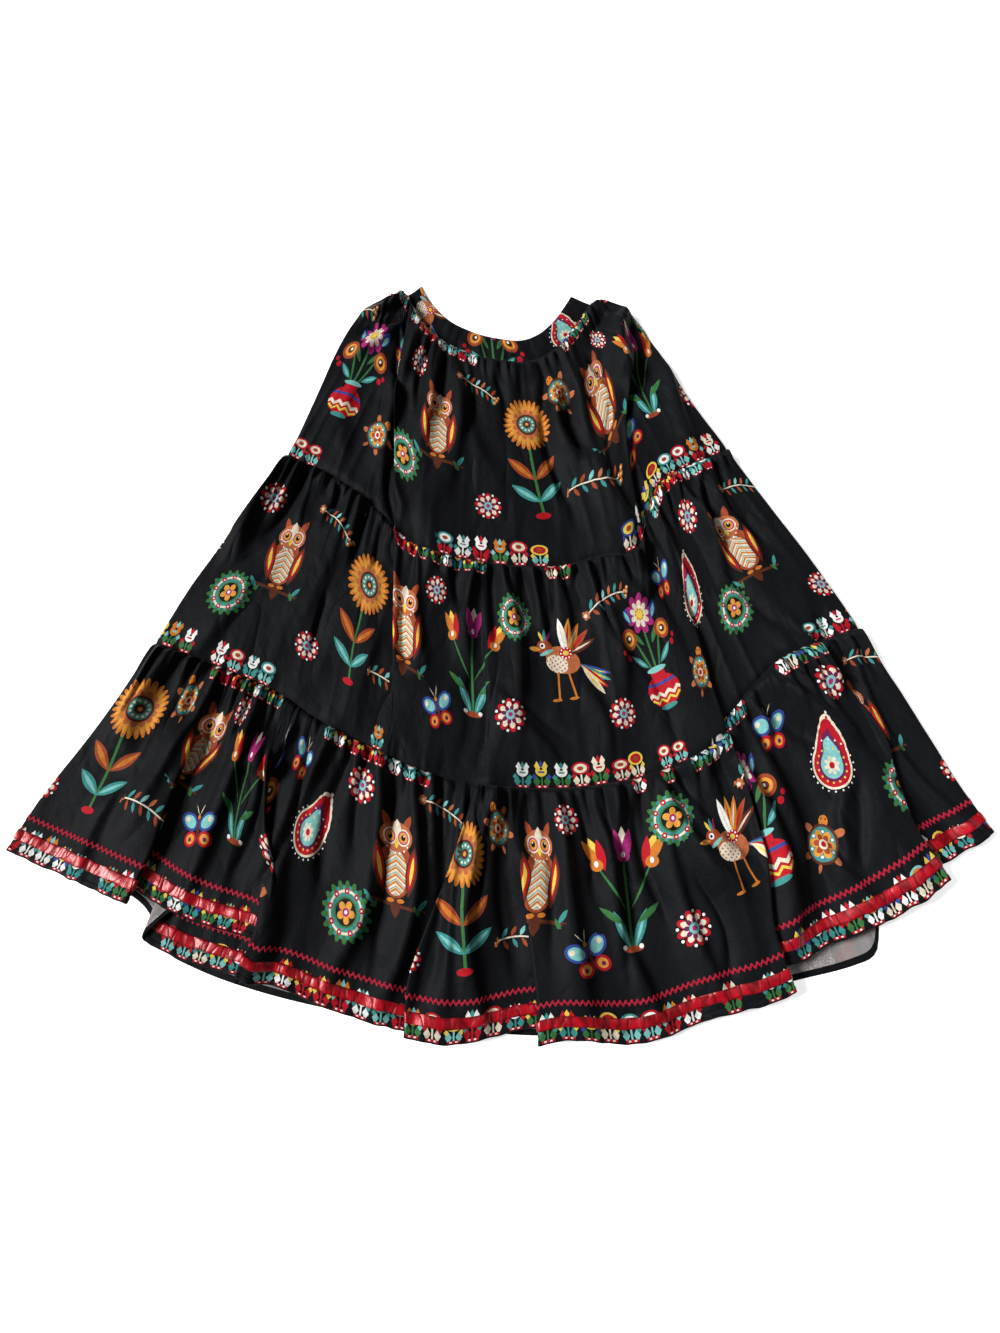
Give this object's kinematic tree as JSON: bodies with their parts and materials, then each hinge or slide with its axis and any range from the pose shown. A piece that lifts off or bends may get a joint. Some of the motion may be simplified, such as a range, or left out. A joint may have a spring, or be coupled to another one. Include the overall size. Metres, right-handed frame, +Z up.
{
  "type": "tiered prairie skirt laid flat",
  "caption": "Long prairie skirt of gathered tiers on an elastic waist, with a ribbon and rickrack above the hem, laid flat in soft folds.",
  "frame": {"origin": "under the middle of the lay, on the surface that it rests on", "axes": "+X across the skirt to the right of the picture, +Y from the hem to the waist, +Z up through the cloth"},
  "size_m": [1.1668, 0.9911, 0.0289],
  "materials": {
    "cloth": "black cotton lawn with a coloured print, matte",
    "wrong_side": "wrong side of the printed cotton, faded grey, matte",
    "satin": "red satin ribbon",
    "braid": "dark red woven rickrack"
  },
  "bodies": {
    "root": {"waistband_front": "cloth", "waistband_back": "cloth", "tier_1_front": "cloth", "tier_1_back": "wrong_side", "tier_2_front": "cloth", "tier_2_back": "wrong_side", "tier_3_front": "cloth", "tier_3_back": "wrong_side", "ribbon_front": "satin", "rickrack_front": "braid"}
  },
  "joints": []
}
